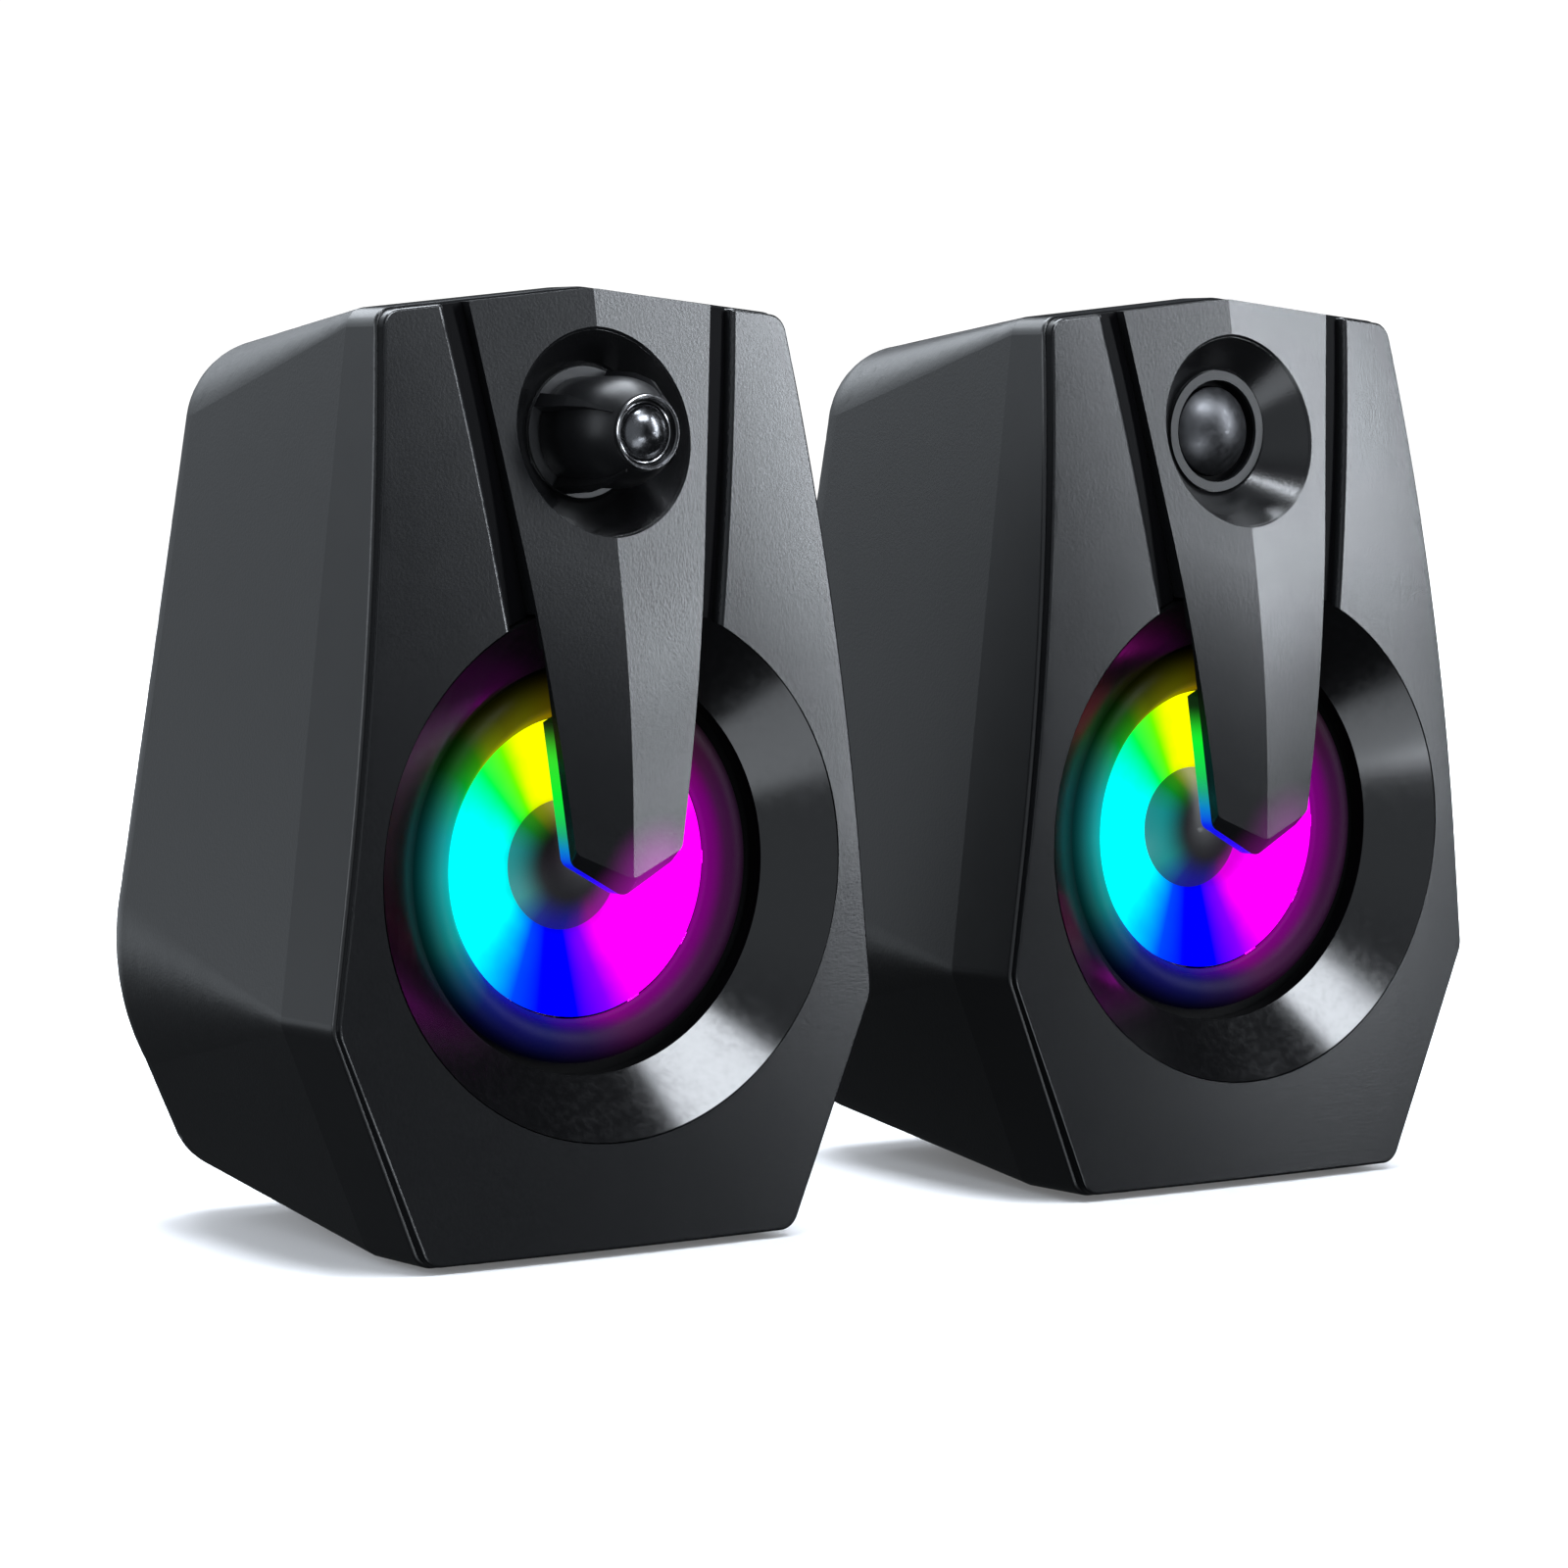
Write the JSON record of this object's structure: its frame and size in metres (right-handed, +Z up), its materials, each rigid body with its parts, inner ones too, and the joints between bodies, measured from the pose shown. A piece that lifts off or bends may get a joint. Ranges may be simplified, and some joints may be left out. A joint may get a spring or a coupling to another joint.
{
  "type": "desktop speaker pair",
  "caption": "Small powered desktop speaker pair in charcoal plastic, with bowed faceted fronts, lit woofer cones, a volume knob in the left horn and a dome tweeter in the right one.",
  "frame": {"origin": "On the desk under the middle of the pair's bounding box: the undersides of the rubber pads are at z = 0.", "axes": "+X from the left cabinet to the right one, +Y from the fronts to the backs, +Z up."},
  "size_m": [0.2356, 0.1014, 0.1549],
  "materials": {
    "shell_plastic": "fine-grained charcoal moulding",
    "frame_plastic": "smooth satin charcoal moulding",
    "face_plastic": "fine-grained matte charcoal moulding",
    "clear_plastic": "frosted clear light strip",
    "gloss_black": "polished black",
    "surround_rubber": "soft satin rubber",
    "woofer_cone": "satin moulded cone, lit by coloured lights",
    "copper_wire": "enamelled copper winding",
    "spider_cloth": "treated cloth",
    "steel": "plain zinc-plated steel",
    "ferrite": "sintered ferrite",
    "circuit_board": "green solder mask",
    "led_light": "small lamps in clear resin",
    "screw_steel": "black oxide",
    "pad_rubber": "matte rubber",
    "horn_plastic": "satin black moulding",
    "knob_plastic": "satin black moulding",
    "knob_ring": "satin dark ring",
    "disc_plastic": "grey moulding",
    "heatsink": "plain extrusion",
    "capacitor_sleeve": "shrink sleeve",
    "dome_cloth": "coated cloth"
  },
  "bodies": {
    "left_cabinet": {"left_rear_shell": "shell_plastic", "left_front_frame": "frame_plastic", "left_face_plate": "face_plastic", "left_blade": "face_plastic", "left_blade_light_edge": "clear_plastic", "left_groove_trims": "gloss_black", "left_woofer_trim_ring": "gloss_black", "left_woofer_surround": "surround_rubber", "left_woofer_spider": "spider_cloth", "left_woofer_basket": "steel", "left_woofer_top_plate": "steel", "left_woofer_magnet": "ferrite", "left_woofer_yoke": "steel", "left_light_board": "circuit_board", "left_light_leds": "led_light", "left_woofer_screws": "screw_steel", "left_cabinet_screws": "screw_steel", "left_foot_pads": "pad_rubber", "left_cable_gland": "pad_rubber", "left_horn_cup": "horn_plastic", "left_knob_back_disc": "disc_plastic", "left_volume_control": "steel", "left_amplifier_board": "circuit_board", "left_amplifier_heatsink": "heatsink", "left_amplifier_capacitors": "capacitor_sleeve"},
    "right_cabinet": {"right_rear_shell": "shell_plastic", "right_front_frame": "frame_plastic", "right_face_plate": "face_plastic", "right_blade": "face_plastic", "right_blade_light_edge": "clear_plastic", "right_groove_trims": "gloss_black", "right_woofer_trim_ring": "gloss_black", "right_woofer_surround": "surround_rubber", "right_woofer_spider": "spider_cloth", "right_woofer_basket": "steel", "right_woofer_top_plate": "steel", "right_woofer_magnet": "ferrite", "right_woofer_yoke": "steel", "right_light_board": "circuit_board", "right_light_leds": "led_light", "right_woofer_screws": "screw_steel", "right_cabinet_screws": "screw_steel", "right_foot_pads": "pad_rubber", "right_cable_gland": "pad_rubber", "right_horn_cup": "horn_plastic", "right_tweeter_ring": "disc_plastic", "right_tweeter_body": "horn_plastic"},
    "volume_knob": {"left_knob_body": "knob_plastic", "left_knob_nose_ring": "knob_ring", "left_knob_cap": "gloss_black", "left_volume_shaft": "steel"},
    "left_cone": {"left_woofer_cone": "woofer_cone", "left_woofer_hub": "woofer_cone", "left_woofer_voice_coil": "copper_wire"},
    "right_cone": {"right_woofer_cone": "woofer_cone", "right_woofer_hub": "woofer_cone", "right_woofer_voice_coil": "copper_wire"},
    "tweeter_dome": {"right_tweeter_dome": "dome_cloth"}
  },
  "joints": [
    {"name": "right_cabinet_slide", "type": "slide", "parent": "left_cabinet", "child": "right_cabinet", "axis": [1, 0, 0], "range_m": [-0.02, 0.3]},
    {"name": "volume_turn", "type": "hinge", "parent": "left_cabinet", "child": "volume_knob", "pos_m": [-0.0663, -0.03729, 0.1317], "axis": [0, -1, 0], "range_deg": [-150, 150]},
    {"name": "left_cone_travel", "type": "slide", "parent": "left_cabinet", "child": "left_cone", "axis": [0, -1, 0], "range_m": [-0.0015, 0.0015], "stiffness_N_per_m": 600},
    {"name": "right_cone_travel", "type": "slide", "parent": "right_cabinet", "child": "right_cone", "axis": [0, -1, 0], "range_m": [-0.0015, 0.0015], "stiffness_N_per_m": 600},
    {"name": "tweeter_dome_travel", "type": "slide", "parent": "right_cabinet", "child": "tweeter_dome", "axis": [0, -1, 0], "range_m": [-0.0002, 0.0002], "stiffness_N_per_m": 400}
  ]
}
